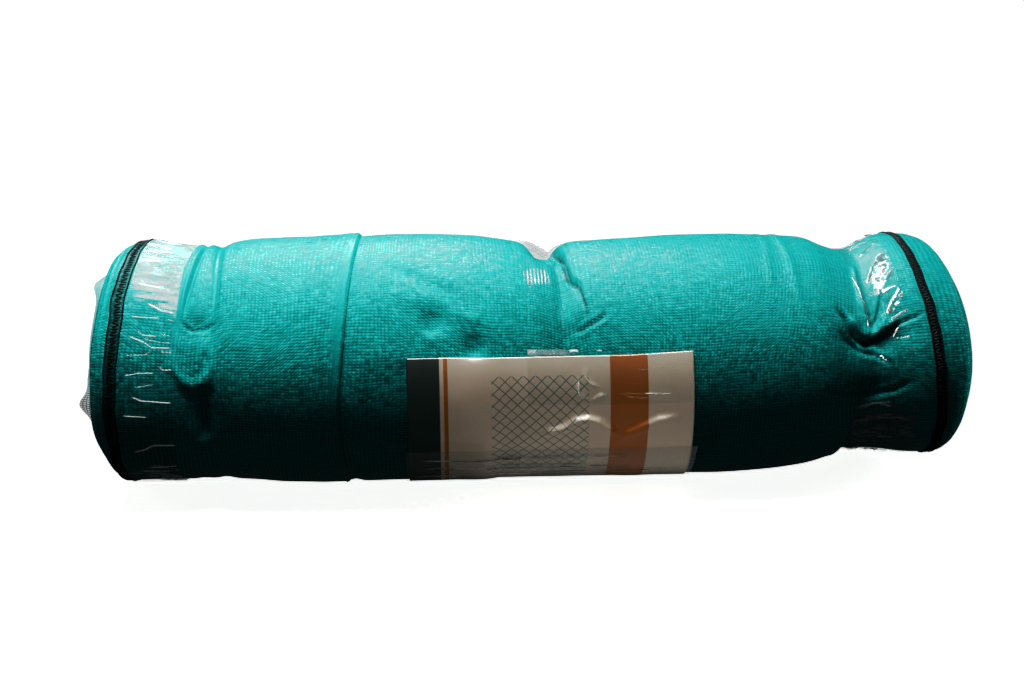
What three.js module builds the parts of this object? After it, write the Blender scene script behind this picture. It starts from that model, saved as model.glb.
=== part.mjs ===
// A roll of knitted debris netting, lying on its side. Three loops of clear tape draw it in, and a card
// is taped to its front. Millimetres: X runs along the roll, Y away from the viewer, Z up from the floor.

import * as THREE from 'three';

// Driving dimensions
const SECTORS = 48; // corners round the roll, placed evenly about its lowest line
const STATION_STEP = 12; // longest step between two sections
const GAP = 0.3; // clearance between pieces that lie on each other
const FILM = 1; // thickness of the tape
const CARD = 1; // thickness of the card
const TURN_PITCH = 18; // distance between the main turns seen at an end
const TURN_RELIEF = 2.5; // how far a turn stands out at an end
const CAP_RINGS = 13; // rings from the rim to the eye of an end
const EYE_RADIUS = 7; // the closed eye in the middle of an end
const END_DISH = 9; // how far the eye lies behind the rim
const COLUMN = 360 / SECTORS; // angle between two corners

// Sections along the roll: the heights of its top and low lines over the floor, and how far the section
// leans along X at the top and at the front. A low line under the floor is pressed flat.
const section = (x, top, low, leanTop = 0, leanFront = 0) => ({ x, top, low, leanTop, leanFront });
const SECTIONS = [
  section(-317, 171.5, 20, -3, -10.5), // outer edge of the left rim
  section(-315, 180, 12, -1, -10.5),
  section(-310, 187, 5.5, 2, -10),
  section(-303, 190, 3, 6, -8), // left selvedge
  section(-297.5, 190.5, 2.8, 7, -7), // left tape
  section(-282, 188, 2.6, 6, -4),
  section(-264, 185.5, 2.4, 5, -2),
  section(-258, 185.5, 2.4, 4, -2), // fold beside the tape
  section(-253, 184.3, 2.8, 3, -2),
  section(-246, 185.5, 2.4, 1, 0), // puff
  section(-238, 183.5, 3.2), // left waist
  section(-229, 187, 1.8),
  section(-215, 189.6, 0.6),
  section(-195, 190.8, -1.4),
  section(-170, 191.6, -2),
  section(-143, 193.2, -2, 10, -1), // lap of one panel over the next
  section(-139, 191, -2, 10, -1),
  section(-103, 192.2, -2), // left end of the strip under the card
  section(-95, 192.2, -2), // left edge of the card
  section(-60, 190.9, -2),
  section(-32, 188.6, -2),
  section(-18, 186.4, 0.2),
  section(-7.5, 184, 2.2, 2.5, -1.5), // middle tape
  section(4, 181.8, 2.4, 0, 0),
  section(16, 177, 2.4, -3, 1.5),
  section(24, 173.8, 2.4, -5, 3), // middle waist
  section(32, 179, 2.4, -7, 5),
  section(39, 182.8, 1.8, -6, 4),
  section(52, 184.6, -0.5),
  section(70, 185.8, -2),
  section(100, 187.4, -2),
  section(118, 188.4, -2), // right edge of the card
  section(125, 188.6, -2), // right end of the strip under the card
  section(160, 188.8, -2),
  section(185, 187.4, -0.8),
  section(205, 186.2, 1),
  section(222, 184.2, 3.5),
  section(236, 178.6, 7.5),
  section(246, 175.4, 11, 1, 0), // right tape
  section(257, 175.6, 15, -2, 0), // right waist
  section(270, 179.5, 14, -7, 0),
  section(290, 185.6, 11, -13, 0),
  section(298, 187.2, 10.5, -13, 1),
  section(308, 187.2, 10.6, -14, 3), // right selvedge
  section(317, 185.5, 12.5, -9, 6),
  section(323, 180.5, 18, -6, 8),
  section(326.5, 171, 28, -4, 10), // outer edge of the right rim
];

// Puckers pressed into the roll: where they lie, their half length along the roll, their half width round
// it, their depth, and how far they turn from the roll's own direction. Angles run from the top to the front.
const pucker = (x, angle, along, around, depth, turn = 0) => ({ x, angle, along, around, depth, turn });
const PUCKERS = [
  pucker(257, 66, 26, 9, 8), // deep pinch at the front of the right waist
  pucker(250, 95, 28, 9, 5, -8),
  pucker(282, 121, 30, 9, 4.5, 16),
  pucker(254, 206, 26, 11, 6, 6),
  pucker(258, 249, 24, 10, 6, -9),
  pucker(252, 291, 26, 11, 7, 5),
  pucker(257, 334, 22, 10, 5, -6),
  pucker(-247, 54, 14, 8, 3), // fold over the left puff
  pucker(-245, 96, 13, 16, 5), // pocket under it
  pucker(-247, 188, 13, 13, 4, 8),
  pucker(-245, 238, 14, 12, 4, -6),
  pucker(-247, 296, 13, 12, 4.5, 5),
  pucker(30, 30, 8, 30, 4, 12), // crease beside the middle tape
  pucker(32, 55, 15, 8, 4, -28),
  pucker(16, 232, 22, 12, 5, 8),
  pucker(20, 300, 22, 12, 5, -6),
  pucker(-75, 51, 10, 9, 4), // two finger dimples
  pucker(-47, 59, 10, 9, 3.5),
];

// Pieces that lie on the roll, in the order in which they go on. Each runs between two sections, named by
// their X, and for the short ones between two angles.
const LEFT_TAPE = { from: -297.5, to: -264 };
const MIDDLE_TAPE = { from: -7.5, to: 39 };
const RIGHT_TAPE = { from: 246, to: 290 };
const LABEL_CARD = { from: -95, to: 118, top: 71.25, low: 153.75 };
const LABEL_TAPE_TOP = { from: -7.5, to: 118, top: 63.75, low: 93.75 };
const LABEL_TAPE_BOTTOM = { from: -103, to: 125, top: 116.25, low: 146.25 };

const radians = THREE.MathUtils.degToRad;
const columnAngle = (column) => (column + 0.5) * COLUMN;
const columnAt = (angle) => Math.round(angle / COLUMN - 0.5);
const stationAt = (x) => stations.findIndex((station) => Math.abs(station.x - x) < 0.001);

// Stations: the sections, and evenly spaced ones between them on a smooth curve
function spreadStations() {
  const profile = new THREE.CatmullRomCurve3(SECTIONS.map(({ x, top, low }) => new THREE.Vector3(x, top, low)));
  const rows = [];
  const last = SECTIONS.length - 1;
  SECTIONS.slice(0, last).forEach((start, index) => {
    const end = SECTIONS[index + 1];
    const steps = Math.ceil((end.x - start.x) / STATION_STEP);
    for (let step = 0; step < steps; step += 1) {
      const share = step / steps;
      const point = profile.getPoint((index + share) / last);
      rows.push({
        x: point.x,
        radius: (point.y - point.z) / 2,
        height: (point.y + point.z) / 2,
        leanTop: THREE.MathUtils.lerp(start.leanTop, end.leanTop, share),
        leanFront: THREE.MathUtils.lerp(start.leanFront, end.leanFront, share),
      });
    }
  });
  const { x, top, low, leanTop, leanFront } = SECTIONS[last];
  rows.push({ x, radius: (top - low) / 2, height: (top + low) / 2, leanTop, leanFront });
  return rows;
}

const stations = spreadStations();

// How deep all puckers together press the skin in at a place
function pressedIn(x, angle, radius) {
  let depth = 0;
  for (const dent of PUCKERS) {
    const turned = THREE.MathUtils.euclideanModulo(angle - dent.angle + 180, 360) - 180;
    const place = new THREE.Vector2(x - dent.x, radians(turned) * radius);
    place.rotateAround(new THREE.Vector2(), -radians(dent.turn));
    depth += dent.depth * Math.exp(-((place.x / dent.along) ** 2) - (place.y / dent.around) ** 2);
  }
  return depth;
}

// A point of the roll's skin, or of a piece that lies at some lift over it
function skinPoint(station, column, lift) {
  const { x, radius, height, leanTop, leanFront } = stations[station];
  const angle = columnAngle(column);
  const turn = radians(angle);
  const along = x + leanTop * Math.cos(turn) + leanFront * Math.sin(turn);
  const reach = radius - pressedIn(along, angle, radius) + lift;
  return [along, -reach * Math.sin(turn), height + reach * Math.cos(turn)];
}

// A closed mesh from points and four-cornered faces
class MeshBuilder {
  points = [];
  triangles = [];

  point(place) {
    this.points.push(...place);
    return this.points.length / 3 - 1;
  }

  quad(a, b, c, d) {
    this.triangles.push(a, b, c, a, c, d);
  }

  mesh(name, material) {
    const geometry = new THREE.BufferGeometry();
    geometry.setAttribute('position', new THREE.Float32BufferAttribute(this.points, 3));
    geometry.setIndex(this.triangles);
    geometry.computeVertexNormals();
    const mesh = new THREE.Mesh(geometry, material);
    mesh.name = name;
    return mesh;
  }
}

// One end of the roll: rings from the rim to the eye, in and out along the turns
function closeEnd(builder, rim, station, outwards) {
  const { x, radius, height, leanTop, leanFront } = stations[station];
  let outer = rim;
  for (let ring = 1; ring <= CAP_RINGS; ring += 1) {
    const reach = THREE.MathUtils.lerp(radius, EYE_RADIUS, ring / CAP_RINGS);
    const share = reach / radius;
    const inner = rim.map((_, column) => {
      const turn = radians(columnAngle(column));
      const wave = TURN_RELIEF * Math.cos(2 * Math.PI * (reach / TURN_PITCH) - turn);
      const out = wave - END_DISH * (1 - share ** 2);
      const lean = share * (leanTop * Math.cos(turn) + leanFront * Math.sin(turn));
      return builder.point([x + lean + outwards * out, -reach * Math.sin(turn), height + reach * Math.cos(turn)]);
    });
    joinRings(builder, outwards > 0 ? outer : inner, outwards > 0 ? inner : outer);
    outer = inner;
  }
  const eye = builder.point([x - outwards * END_DISH, 0, height]);
  outer.forEach((corner, column) => {
    const next = outer[(column + 1) % SECTORS];
    builder.triangles.push(...(outwards > 0 ? [corner, next, eye] : [next, corner, eye]));
  });
}

// Faces between two rings, the second one further along X, seen from outside
function joinRings(builder, first, second) {
  first.forEach((corner, column) => {
    const next = (column + 1) % SECTORS;
    builder.quad(corner, first[next], second[next], second[column]);
  });
}

function nettingRoll(material) {
  const builder = new MeshBuilder();
  const columns = [...Array(SECTORS).keys()];
  const rings = stations.map((_, station) => columns.map((column) => {
    const [x, y, z] = skinPoint(station, column, 0);
    return builder.point([x, y, Math.max(z, 0)]);
  }));
  rings.slice(1).forEach((ring, index) => joinRings(builder, rings[index], ring));
  closeEnd(builder, rings[0], 0, -1);
  closeEnd(builder, rings.at(-1), stations.length - 1, 1);
  return builder.mesh('netting_roll', material);
}

// Thickness that already lies on each point of the skin
const laid = stations.map(() => new Array(SECTORS).fill(0));

// A sheet laid on the roll and on what already lies there: a loop right round, or a patch between two angles
function layOnRoll(name, { from, to, top, low }, thickness, material) {
  const builder = new MeshBuilder();
  const loop = top === undefined;
  const first = loop ? 0 : columnAt(top);
  const count = loop ? SECTORS : columnAt(low) - first + 1;
  const grid = [];
  for (let station = stationAt(from); station <= stationAt(to); station += 1) {
    const row = [];
    for (let column = first; column < first + count; column += 1) {
      const under = laid[station][column] + GAP;
      const back = builder.point(skinPoint(station, column, under));
      const face = builder.point(skinPoint(station, column, under + thickness));
      laid[station][column] = under + thickness;
      row.push({ back, face });
    }
    if (loop) row.push(row[0]);
    grid.push(row);
  }
  for (let i = 1; i < grid.length; i += 1) {
    for (let j = 1; j < grid[i].length; j += 1) {
      const [a, b, c, d] = [grid[i - 1][j - 1], grid[i - 1][j], grid[i][j], grid[i][j - 1]];
      builder.quad(a.face, b.face, c.face, d.face);
      builder.quad(a.back, d.back, c.back, b.back);
    }
  }
  const wall = (a, b) => builder.quad(a.face, a.back, b.back, b.face);
  for (let j = 1; j < grid[0].length; j += 1) {
    wall(grid[0][j - 1], grid[0][j]);
    wall(grid.at(-1)[j], grid.at(-1)[j - 1]);
  }
  if (!loop) {
    for (let i = 1; i < grid.length; i += 1) {
      wall(grid[i][0], grid[i - 1][0]);
      wall(grid[i - 1].at(-1), grid[i].at(-1));
    }
  }
  return builder.mesh(name, material);
}

const knit = () => new THREE.MeshStandardMaterial({ color: 0x18998f, roughness: 0.55, metalness: 0 });
const film = () => new THREE.MeshStandardMaterial({ color: 0xcfe6e4, roughness: 0.12, metalness: 0 });
const paper = () => new THREE.MeshStandardMaterial({ color: 0xd9d0b8, roughness: 0.6, metalness: 0 });

const roll = new THREE.Group();
roll.add(
  nettingRoll(knit()),
  layOnRoll('tape_left', LEFT_TAPE, FILM, film()),
  layOnRoll('tape_middle', MIDDLE_TAPE, FILM, film()),
  layOnRoll('tape_right', RIGHT_TAPE, FILM, film()),
  layOnRoll('label_card', LABEL_CARD, CARD, paper()),
  layOnRoll('tape_label_top', LABEL_TAPE_TOP, FILM, film()),
  layOnRoll('tape_label_bottom', LABEL_TAPE_BOTTOM, FILM, film()),
);

// The origin is under the middle of the whole roll, on the floor
const middle = new THREE.Box3().setFromObject(roll, true).getCenter(new THREE.Vector3());
roll.position.set(-middle.x, -middle.y, 0);

export default roll;
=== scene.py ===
# %% [markdown]
# # A roll of debris netting
# Debris netting is a light green knit that is hung along scaffolding. It is sold folded in three and wound
# into a roll, with loops of clear tape that draw it in and a card held on its front by two strips of the
# same tape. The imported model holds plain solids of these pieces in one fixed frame. This script dresses
# them. Each piece is measured from that frame, so it lies where its solid lies.

# %% Load the frame
import math

import bpy
import numpy as np
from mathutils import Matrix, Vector


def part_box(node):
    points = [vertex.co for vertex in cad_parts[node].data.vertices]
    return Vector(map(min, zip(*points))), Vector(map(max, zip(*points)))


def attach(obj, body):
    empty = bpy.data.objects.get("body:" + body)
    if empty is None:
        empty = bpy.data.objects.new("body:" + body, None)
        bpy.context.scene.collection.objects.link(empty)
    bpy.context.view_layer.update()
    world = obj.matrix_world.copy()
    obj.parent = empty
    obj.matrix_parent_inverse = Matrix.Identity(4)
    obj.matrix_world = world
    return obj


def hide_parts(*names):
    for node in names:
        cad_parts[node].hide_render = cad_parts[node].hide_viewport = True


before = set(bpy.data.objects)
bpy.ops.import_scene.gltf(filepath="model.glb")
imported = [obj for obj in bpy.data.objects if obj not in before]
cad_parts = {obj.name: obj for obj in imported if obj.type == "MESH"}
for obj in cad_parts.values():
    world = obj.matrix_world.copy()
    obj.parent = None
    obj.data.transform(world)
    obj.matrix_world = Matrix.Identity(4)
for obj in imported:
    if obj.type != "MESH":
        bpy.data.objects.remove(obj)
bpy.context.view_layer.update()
scene = bpy.context.scene
print("CAD nodes:", ", ".join(sorted(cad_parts)))

# %% [markdown]
# ## Camera
# The photograph looks down on the roll at about twenty degrees, from slightly left of its middle. The
# camera's place and the point it looks at follow from the roll's outline in the picture. It turns to look
# at that point, which keeps its lens shift at zero, so the same camera can walk round the roll for other
# views.

# %% Put up the camera
CAMERA_PLACE = Vector((-0.0833, -1.1245, 0.5029))
CAMERA_AIM = Vector((-0.0163, 0.0053, 0.1042))

camera = bpy.data.objects.new("camera", bpy.data.cameras.new("camera"))
camera.location = CAMERA_PLACE
camera.rotation_euler = (CAMERA_AIM - CAMERA_PLACE).to_track_quat("-Z", "Y").to_euler()
camera.data.lens = 52.8
scene.collection.objects.link(camera)
scene.camera = camera
print("camera stands", round((CAMERA_AIM - CAMERA_PLACE).length, 3), "m from its aim")

# %% [markdown]
# ## Sums on sockets
# Every finish below is a pattern worked out from coordinates. Written as nodes, one line of arithmetic
# takes a page, so a small class wraps a socket and turns +, -, * and / into Math nodes. Any other node
# comes from its one method `node`, which sets the node's options first and then its sockets; `vector`,
# `split` and `noise` are short names for nodes that come up often. Geometry Nodes use the same Math nodes,
# so the class serves both kinds of tree.

# %% A class for sums on sockets
class Wire:
    """A socket of a node tree; sums on wires add Math nodes."""

    def __init__(self, tree, socket=None):
        self.tree = tree
        self.socket = socket

    def node(self, kind, settings=None, sockets=None, output=0):
        """Add a node, set its options, then fill or link its sockets, and return one of its outputs."""
        node = self.tree.nodes.new(kind)
        for name, value in (settings or {}).items():
            setattr(node, name, value)
        for key, value in (sockets or {}).items():
            if isinstance(value, Wire):
                self.tree.links.new(value.socket, node.inputs[key])
            else:
                node.inputs[key].default_value = value
        return Wire(self.tree, node.outputs[output]) if node.outputs else None

    def out(self, output):
        """Another output of the same node."""
        return Wire(self.tree, self.socket.node.outputs[output])

    def math(self, operation, *values):
        """A Math node on these values."""
        return self.node("ShaderNodeMath", {"operation": operation}, dict(enumerate(values)))

    def __add__(self, other):
        return self.math("ADD", self, other)

    def __sub__(self, other):
        return self.math("SUBTRACT", self, other)

    def __rsub__(self, other):
        return self.math("SUBTRACT", other, self)

    def __mul__(self, other):
        return self.math("MULTIPLY", self, other)

    def __truediv__(self, other):
        return self.math("DIVIDE", self, other)

    __radd__ = __add__
    __rmul__ = __mul__

    def step(self, low, high):
        """A soft step from 0 at low to 1 at high."""
        settings = {"interpolation_type": "SMOOTHSTEP"}
        return self.node("ShaderNodeMapRange", settings, {0: self, 1: low, 2: high, 3: 0.0, 4: 1.0})

    def ramp(self, low, high):
        """A straight ramp from 0 at low to 1 at high."""
        return self.node("ShaderNodeMapRange", {}, {0: self, 1: low, 2: high, 3: 0.0, 4: 1.0})

    def unsigned(self):
        """The value without its sign."""
        return self.math("ABSOLUTE", self)

    def from_middle(self):
        """How far a value lies from the middle of its own unit, from 0 to 0.5."""
        return (self.math("FRACT", self) - 0.5).unsigned()

    def blend(self, first, second):
        """A colour from first to second as this wire goes from 0 to 1."""
        return self.node("ShaderNodeMix", {"data_type": "RGBA"}, {0: self, 6: first, 7: second}, output=2)

    def vector(self, operation, *others):
        """Vector maths on this wire and others."""
        return self.node("ShaderNodeVectorMath", {"operation": operation}, dict(enumerate((self, *others))))

    def split(self):
        """The first number of a vector; outputs 1 and 2 are the others."""
        return self.node("ShaderNodeSeparateXYZ", {}, {0: self})

    def noise(self, scale, detail):
        """Smooth noise from 0 to 1 at the places that this wire gives."""
        return self.node("ShaderNodeTexNoise", {}, {"Vector": self, "Scale": scale, "Detail": detail})


def new_finish(name):
    """An empty material and the start of its node tree."""
    material = bpy.data.materials.new(name)
    material.use_nodes = True
    material.node_tree.nodes.clear()
    return material, Wire(material.node_tree)


def end_with(shader):
    """End a finish with a shader."""
    shader.node("ShaderNodeOutputMaterial", {}, {"Surface": shader})


print("sums on sockets are ready")

# %% [markdown]
# ## Floor
# The picture has the roll on a white ground. A white plane would do, but a bright floor throws light back
# up and fills the dark side of the roll. So this one glows a little by itself, and the roll's bounce light
# leaves it out.

# %% Lay the floor
floor_finish, start = new_finish("pale_floor")
spot = start.node("ShaderNodeTexCoord", output=3)
paper_white = spot.noise(6.0, 2.0).blend((0.90, 0.90, 0.89, 1), (0.94, 0.94, 0.93, 1))
matt = start.node("ShaderNodeBsdfDiffuse", {}, {"Color": paper_white})
glow = 1.32 + 0.2 * spot.vector("LENGTH").out(1).step(0.45, 1.1)
lit_from_below = start.node("ShaderNodeEmission", {}, {"Color": (1, 1, 1, 1), "Strength": glow})
end_with(start.node("ShaderNodeMixShader", {}, {0: 0.75, 1: matt, 2: lit_from_below}))

FLOOR_HALF = 6.0
floor_mesh = bpy.data.meshes.new("floor")
floor_corners = [(FLOOR_HALF * x, FLOOR_HALF * y, 0) for x, y in ((-1, -1), (1, -1), (1, 1), (-1, 1))]
floor_mesh.from_pydata(floor_corners, [], [(0, 1, 2, 3)])
floor_mesh.materials.append(floor_finish)
floor = bpy.data.objects.new("floor", floor_mesh)
floor.visible_diffuse = False
floor.visible_glossy = False
scene.collection.objects.link(floor)
print("floor:", 2 * FLOOR_HALF, "m square")

# %% [markdown]
# ## Light
# One light from above makes the roll's top pale and lets its lower front fall away to black. A soft box
# overhead does that. Sheen is set apart from shade: the box overhead and two more beside the ends light
# only matt surfaces, and two large ones behind the roll show only as reflections. So each can be moved
# without changing the other.

# %% Hang the lights
def soft_box(name, place, aim, size, power, shade=True, sheen=True, only=None):
    """An area light that looks at a point, for matt surfaces, glossy ones or both, of all pieces or some."""
    lamp = bpy.data.lights.new(name, "AREA")
    lamp.shape = "RECTANGLE"
    lamp.size, lamp.size_y = size
    lamp.energy = power
    box = bpy.data.objects.new(name, lamp)
    box.location = place
    box.rotation_euler = (Vector(aim) - Vector(place)).to_track_quat("-Z", "Y").to_euler()
    box.visible_camera = False
    box.visible_diffuse = shade
    box.visible_glossy = sheen
    box.light_linking.receiver_collection = only
    scene.collection.objects.link(box)


soft_box("overhead_light", (-0.28, -0.04, 1.2), (-0.2, 0, 0.1), (0.6, 0.3), 15.4, sheen=False)
soft_box("sheen_light", (-0.37, 0.54, 1.32), (-0.2, 0, 0.1), (1.27, 1.8), 50, shade=False)
soft_box("side_sheen_light", (0.06, 0.54, 1.32), (0.1, 0, 0.1), (0.5, 1.8), 8, shade=False)
soft_box("left_light", (-1.5, 0.35, 0.55), (-0.3, 0, 0.1), (0.5, 0.6), 1.1, sheen=False)
soft_box("right_light", (1.5, 0.25, 0.55), (0.3, 0, 0.1), (0.5, 0.6), 9.5, sheen=False)

# card and film are smooth and take light from the floor and the room in front of them, so two boxes are for
# them alone, and a third shows only in the creases of the card
paper_and_film = bpy.data.collections.new("paper_and_film")
soft_box("floor_glow", (0.06, -0.16, 0.004), (0.06, -0.16, 1), (0.2, 0.2), 0.035, only=paper_and_film)
soft_box("front_light", (0, -1, 0.35), (0, 0, 0.08), (0.9, 0.4), 1.6, sheen=False, only=paper_and_film)
paper = bpy.data.collections.new("paper")
soft_box("crease_light", (0.05, -0.6, 1.15), (0.03, 0, 0.08), (0.7, 0.9), 60, shade=False, only=paper)
print("eight soft boxes")

# %% [markdown]
# The sky is white where the camera sees it and dim for the roll, so that shadows stay deep. The picture's
# own tones are deeper still: a curve takes the dark ones down a little and lifts the middle ones.

# %% Sky and tones
world = bpy.data.worlds.new("studio")
world.use_nodes = True
world.node_tree.nodes.clear()
start = Wire(world.node_tree)
upward = start.node("ShaderNodeTexCoord", output=0).split().out(2)
seen = start.node("ShaderNodeLightPath", output=0)
strength = seen + (1 - seen) * (0.018 + 0.006 * upward.step(0.0, 1.0))
backdrop = start.node("ShaderNodeBackground", {}, {"Color": (1, 1, 1, 1), "Strength": strength})
start.node("ShaderNodeOutputWorld", {}, {"Surface": backdrop})
scene.world = world
scene.view_settings.view_transform = "Standard"
scene.view_settings.use_curve_mapping = True
tones = scene.view_settings.curve_mapping
TONES = ((0.10, 0.060), (0.30, 0.31), (0.60, 0.575), (0.80, 0.665), (0.93, 0.77))
for before, after in TONES:
    tones.curves[3].points.new(before, after)
tones.update()
print("a dim sky and a curve through", len(TONES), "tones")

# %% [markdown]
# ## The skin of the roll
# All pieces lie on one surface, the outermost turn of the winding. A table gives it the way a tape measure
# would: at each place along the roll the height of its top and of its underside, and how far that ring
# leans along the roll at the top and at the front. These are the rows that the solid was made from, in
# millimetres. A place on the skin has two numbers: x along the roll, and an angle round it, 0 at the top
# and 90 at the front.

# %% Sections of the roll
SECTIONS = np.array([
    # x, top, low, lean_top, lean_front
    (-317, 171.5, 20, -3, -10.5), (-315, 180, 12, -1, -10.5), (-310, 187, 5.5, 2, -10),
    (-303, 190, 3, 6, -8), (-297.5, 190.5, 2.8, 7, -7), (-282, 188, 2.6, 6, -4),
    (-264, 185.5, 2.4, 5, -2), (-258, 185.5, 2.4, 4, -2), (-253, 184.3, 2.8, 3, -2),
    (-246, 185.5, 2.4, 1, 0), (-238, 183.5, 3.2, 0, 0), (-229, 187, 1.8, 0, 0), (-215, 189.6, 0.6, 0, 0),
    (-195, 190.8, -1.4, 0, 0), (-170, 191.6, -2, 0, 0), (-143, 193.2, -2, 10, -1),
    (-139, 191, -2, 10, -1), (-103, 192.2, -2, 0, 0), (-95, 192.2, -2, 0, 0), (-60, 190.9, -2, 0, 0),
    (-32, 188.6, -2, 0, 0), (-18, 186.4, 0.2, 0, 0), (-7.5, 184, 2.2, 2.5, -1.5), (4, 181.8, 2.4, 0, 0),
    (16, 177, 2.4, -3, 1.5), (24, 173.8, 2.4, -5, 3), (32, 179, 2.4, -7, 5), (39, 182.8, 1.8, -6, 4),
    (52, 184.6, -0.5, 0, 0), (70, 185.8, -2, 0, 0), (100, 187.4, -2, 0, 0), (118, 188.4, -2, 0, 0),
    (125, 188.6, -2, 0, 0), (160, 188.8, -2, 0, 0), (185, 187.4, -0.8, 0, 0), (205, 186.2, 1, 0, 0),
    (222, 184.2, 3.5, 0, 0), (236, 178.6, 7.5, 0, 0), (246, 175.4, 11, 1, 0), (257, 175.6, 15, -2, 0),
    (270, 179.5, 14, -7, 0), (290, 185.6, 11, -13, 0), (298, 187.2, 10.5, -13, 1),
    (308, 187.2, 10.6, -14, 3), (317, 185.5, 12.5, -9, 6), (323, 180.5, 18, -6, 8),
    (326.5, 171, 28, -4, 10),
])
LEFT_RIM, RIGHT_RIM = SECTIONS[0, 0], SECTIONS[-1, 0]
TOP, LOW, LEAN_TOP, LEAN_FRONT = 1, 2, 3, 4  # columns of the table
MIDDLE_WAIST = 24.0


def read_table(column, x):
    """A smooth curve through one column of the table, at any x."""
    knots, values = SECTIONS[:, 0], SECTIONS[:, column]
    slopes = np.gradient(values, knots)
    i = np.clip(np.searchsorted(knots, x) - 1, 0, len(knots) - 2)
    gap = knots[i + 1] - knots[i]
    t = (x - knots[i]) / gap
    near = (1 + 2 * t) * (1 - t) ** 2 * values[i] + t * (1 - t) ** 2 * gap * slopes[i]
    far = t * t * (3 - 2 * t) * values[i + 1] + t * t * (t - 1) * gap * slopes[i + 1]
    return near + far


def straight_between(first, last):
    """The table with a straight line between two places, for a piece that doesn't follow it there."""
    ends = np.array([first, last])

    def table(column, x):
        straight = np.interp(x, ends, read_table(column, ends))
        return np.where((x > first) & (x < last), straight, read_table(column, x))

    return table


middle = read_table(TOP, np.array([MIDDLE_WAIST]))[0]
print("sections:", len(SECTIONS), "- top of the middle waist at", round(float(middle), 1), "mm")

# %% [markdown]
# Where a tape draws the roll in, the spare cloth gathers into puckers. Each is a soft dent: its place, how
# far it reaches along and round the roll, its depth, and a turn. Most are the solid's own, so skin and
# solid agree.

# %% Puckers at the waists
PUCKERS = [
    # x, angle, along, around, depth, turn
    (253, 66, 21, 9, 5.4, 0), (250, 95, 28, 9, 3.4, -8), (282, 121, 30, 9, 4.5, 16),
    (254, 206, 26, 11, 6, 6), (258, 249, 24, 10, 6, -9), (252, 291, 26, 11, 7, 5),
    (257, 334, 22, 10, 5, -6), (-247, 54, 14, 8, 3, 0), (-245, 96, 13, 16, 3.5, 0),
    (-247, 188, 13, 13, 4, 8), (-245, 238, 14, 12, 4, -6), (-247, 296, 13, 12, 4.5, 5),
    (30, 30, 8, 30, 4, 12), (32, 55, 15, 8, 1.5, -28), (16, 232, 22, 12, 5, 8), (20, 300, 22, 12, 5, -6),
    (-76, 55, 9, 8, 3.8, 0), (-45, 65, 9, 8, 3.6, 0),
]


def pressed_in(x, angle, radius):
    """How deep all puckers together press the skin in."""
    depth = 0.0
    for dent_x, dent_angle, along, around, deep, turn in PUCKERS:
        aside = x - dent_x
        away = np.radians((angle - dent_angle + 180) % 360 - 180) * radius
        cos, sin = math.cos(math.radians(turn)), math.sin(math.radians(turn))
        run, rise = aside * cos + away * sin, away * cos - aside * sin
        depth = depth + deep * np.exp(-(run / along) ** 2 - (rise / around) ** 2)
    return depth


print("puckers:", len(PUCKERS))

# %% [markdown]
# On top of that come the fine folds that the solid leaves out: sharp creases beside the tapes, the lip of a
# puff of cloth, the pinched mouth at the right waist. Each is drawn as a line over the skin with a height
# and a width. Cloth that is pushed down here comes up beside the line, so a crease may have a lip on both
# sides.

# %% Fine folds as lines on the skin
ROUND = 93.0  # radius at which angles are measured across the skin, mm


def line(points, height, width, lip=0.0, below=None, fade=0.3):
    """A fold: its places, height and width, a lip beside it, its width below, and how far its ends fade."""
    return dict(points=points, height=height, width=width, lip=lip, below=below or width, fade=fade)


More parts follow.
